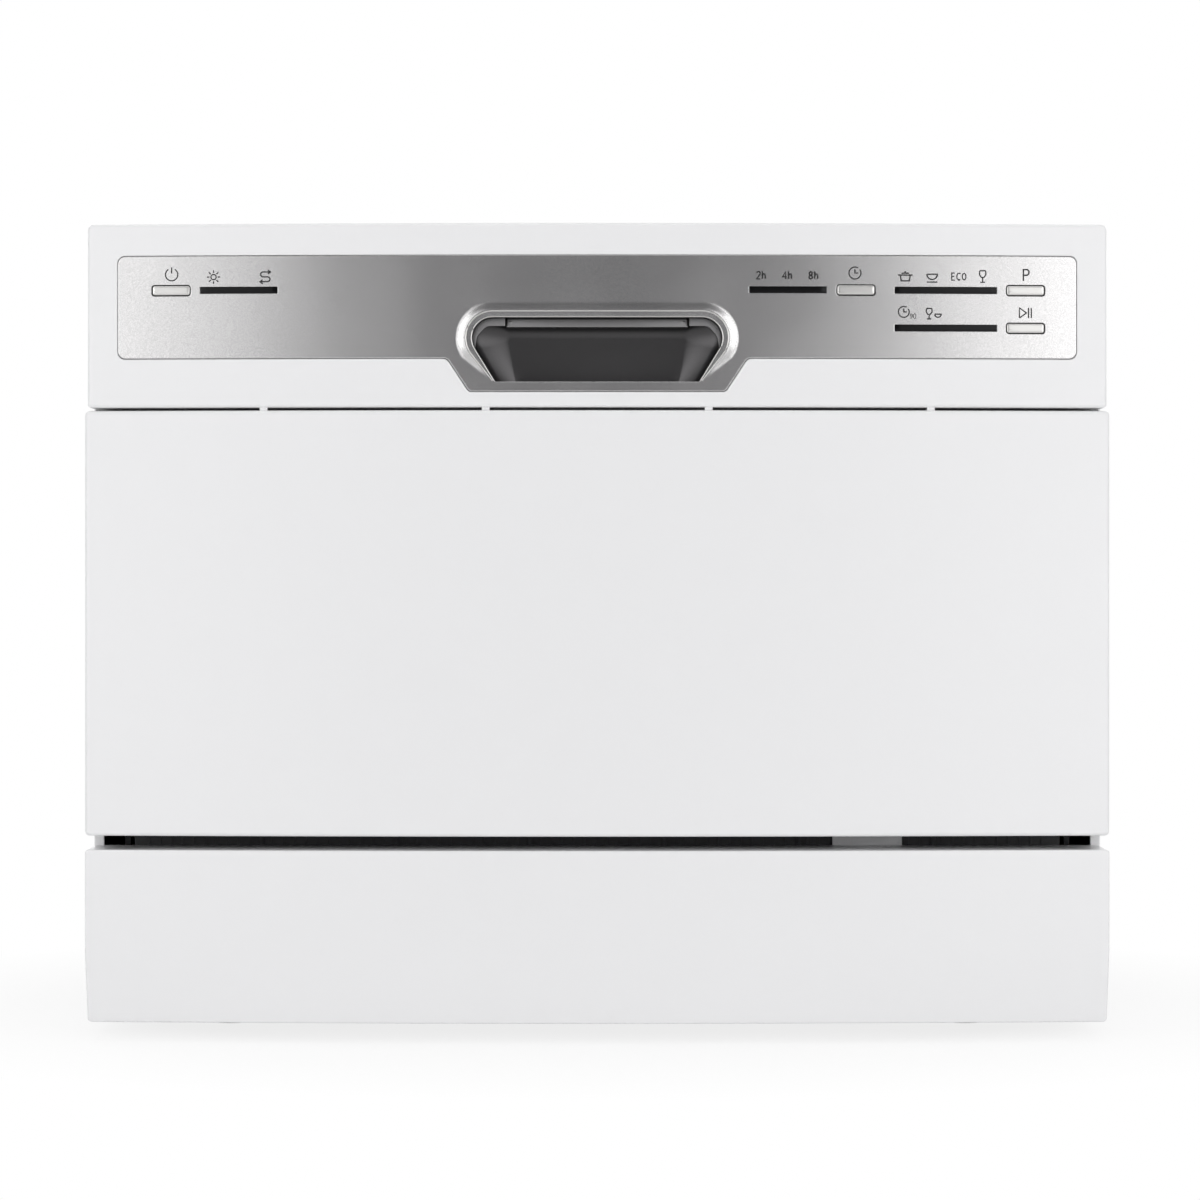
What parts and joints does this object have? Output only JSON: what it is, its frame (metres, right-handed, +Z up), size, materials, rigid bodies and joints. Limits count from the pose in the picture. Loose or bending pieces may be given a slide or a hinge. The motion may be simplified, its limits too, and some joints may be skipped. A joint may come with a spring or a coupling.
{
  "type": "countertop dishwasher",
  "caption": "Compact countertop dishwasher with a bowed drop-down door, lever handle, push buttons and a slide-out wire rack.",
  "frame": {"origin": "middle of the footprint, on the surface the feet stand on", "axes": "+X to the right seen from the front, -Y out of the front, +Z up"},
  "size_m": [0.55, 0.5, 0.438],
  "materials": {
    "white_door": "white enamel, smooth gloss",
    "white_cabinet": "white powder coat, fine satin",
    "white_plastic": "moulded ABS, fine satin",
    "silver_fascia": "satin metallic silver with fine grain",
    "handle_grey": "moulded grey plastic, fine texture",
    "button_silver": "satin silver",
    "window_dark": "smoked lens",
    "stainless": "stainless, fine brushed",
    "zinc_steel": "zinc-plated sheet",
    "black_plastic": "black polypropylene",
    "grey_plastic": "grey polypropylene",
    "pale_plastic": "pale grey polypropylene",
    "blue_plastic": "blue polypropylene",
    "rubber_seal": "dark rubber",
    "coated_wire": "nylon-coated wire",
    "circuit_board": "green circuit board"
  },
  "bodies": {
    "cabinet": {"base_tray": "black_plastic", "base_skirt": "white_plastic", "kick_panel": "black_plastic", "harness_guard": "pale_plastic", "feet": "rubber_seal", "side_panel_left": "white_cabinet", "side_panel_right": "white_cabinet", "rear_panel": "zinc_steel", "top_cover": "white_cabinet", "tub": "stainless", "tub_gasket": "rubber_seal", "sump": "black_plastic", "filter_plate": "stainless", "spray_hub": "grey_plastic", "pump_housing": "grey_plastic", "pump_motor": "zinc_steel", "drain_pump": "black_plastic", "drain_spigot": "grey_plastic", "inlet_valve": "pale_plastic", "inlet_hose": "black_plastic", "softener": "pale_plastic", "heater": "stainless", "float_switch": "black_plastic", "junction_box": "pale_plastic", "latch_striker": "zinc_steel", "hinge_brackets": "zinc_steel", "hinge_pins": "zinc_steel", "cabinet_screws": "zinc_steel"},
    "door": {"door_outer_panel": "white_door", "door_inner_panel": "stainless", "console_housing": "white_plastic", "fascia_trim": "silver_fascia", "handle_cup": "handle_grey", "indicator_windows": "window_dark", "control_boards": "circuit_board", "latch_body": "grey_plastic", "hinge_arms": "zinc_steel", "dispenser_body": "grey_plastic", "door_screws": "zinc_steel"},
    "lever": {"latch_lever": "handle_grey"},
    "hook": {"latch_hook": "zinc_steel"},
    "power_key": {"power_button": "button_silver"},
    "delay_key": {"delay_button": "button_silver"},
    "program_key": {"program_button": "button_silver"},
    "start_key": {"start_button": "button_silver"},
    "flap": {"detergent_flap": "pale_plastic"},
    "rinse_cap": {"rinse_aid_cap": "blue_plastic"},
    "arm": {"spray_arm": "grey_plastic"},
    "softener_cap": {"salt_cap": "grey_plastic"},
    "filter": {"filter_cup": "grey_plastic"},
    "level_float": {"float": "pale_plastic"},
    "impeller": {"pump_impeller": "blue_plastic"},
    "rack": {"rack_floor": "coated_wire", "rack_walls": "coated_wire", "plate_tines": "coated_wire", "cutlery_basket": "grey_plastic"},
    "shelf": {"cup_shelf": "coated_wire"},
    "rollers_front": {"front_rollers": "grey_plastic"},
    "rollers_rear": {"rear_rollers": "grey_plastic"}
  },
  "joints": [
    {"name": "door_hinge", "type": "hinge", "parent": "cabinet", "child": "door", "pos_m": [0, -0.2208, 0.1328], "axis": [1, 0, 0], "range_deg": [0, 90]},
    {"name": "latch_lever_pull", "type": "hinge", "parent": "door", "child": "lever", "pos_m": [0, -0.23, 0.3965], "axis": [-1, 0, 0], "range_deg": [0, 12], "stiffness_Nm_per_rad": 0.4},
    {"name": "latch_hook_lift", "type": "hinge", "parent": "door", "child": "hook", "pos_m": [0, -0.2208, 0.4275], "axis": [1, 0, 0], "range_deg": [0, 4.2]},
    {"name": "power_press", "type": "slide", "parent": "door", "child": "power_key", "axis": [0, 1, 0], "range_m": [0, 0.001], "stiffness_N_per_m": 400},
    {"name": "delay_press", "type": "slide", "parent": "door", "child": "delay_key", "axis": [0, 1, 0], "range_m": [0, 0.001], "stiffness_N_per_m": 400},
    {"name": "program_press", "type": "slide", "parent": "door", "child": "program_key", "axis": [0, 1, 0], "range_m": [0, 0.001], "stiffness_N_per_m": 400},
    {"name": "start_press", "type": "slide", "parent": "door", "child": "start_key", "axis": [0, 1, 0], "range_m": [0, 0.001], "stiffness_N_per_m": 400},
    {"name": "detergent_flap_hinge", "type": "hinge", "parent": "door", "child": "flap", "pos_m": [-0.039, -0.195, 0.2634], "axis": [-1, 0, 0], "range_deg": [0, 100]},
    {"name": "rinse_aid_cap_turn", "type": "hinge", "parent": "door", "child": "rinse_cap", "pos_m": [0.042, -0.198, 0.2888], "axis": [0, 1, 0], "range_deg": [0, 90]},
    {"name": "spray_arm_spin", "type": "hinge", "parent": "cabinet", "child": "arm", "pos_m": [0, 0.02, 0.179], "axis": [0, 0, 1], "continuous": true},
    {"name": "salt_cap_turn", "type": "hinge", "parent": "cabinet", "child": "softener_cap", "pos_m": [0.172, 0.124, 0.165], "axis": [0, 0, 1], "range_deg": [0, 360]},
    {"name": "filter_cup_turn", "type": "hinge", "parent": "cabinet", "child": "filter", "pos_m": [0, -0.062, 0.15], "axis": [0, 0, 1], "range_deg": [0, 90]},
    {"name": "float_rise", "type": "slide", "parent": "cabinet", "child": "level_float", "axis": [0, 0, 1], "range_m": [0, 0.012]},
    {"name": "impeller_spin", "type": "hinge", "parent": "cabinet", "child": "impeller", "pos_m": [0.092, -0.062, 0.1045], "axis": [1, 0, 0], "continuous": true},
    {"name": "rack_slide", "type": "slide", "parent": "cabinet", "child": "rack", "axis": [0, -1, 0], "range_m": [0, 0.1731]},
    {"name": "cup_shelf_fold", "type": "hinge", "parent": "rack", "child": "shelf", "pos_m": [-0.211, 0, 0.282], "axis": [0, -1, 0], "range_deg": [0, 80]},
    {"name": "front_rollers_roll", "type": "hinge", "parent": "rack", "child": "rollers_front", "pos_m": [0, -0.008, 0.1863], "axis": [1, 0, 0], "range_deg": [0, 995]},
    {"name": "rear_rollers_roll", "type": "hinge", "parent": "rack", "child": "rollers_rear", "pos_m": [0, 0.165, 0.1863], "axis": [1, 0, 0], "range_deg": [0, 995]}
  ],
  "couplings": [
    {"joint": "rack_slide", "follows": "door_hinge", "m_per_rad": 0.11},
    {"joint": "front_rollers_roll", "follows": "door_hinge", "ratio": 11},
    {"joint": "rear_rollers_roll", "follows": "door_hinge", "ratio": 11},
    {"joint": "latch_hook_lift", "follows": "latch_lever_pull", "ratio": 0.3333}
  ]
}
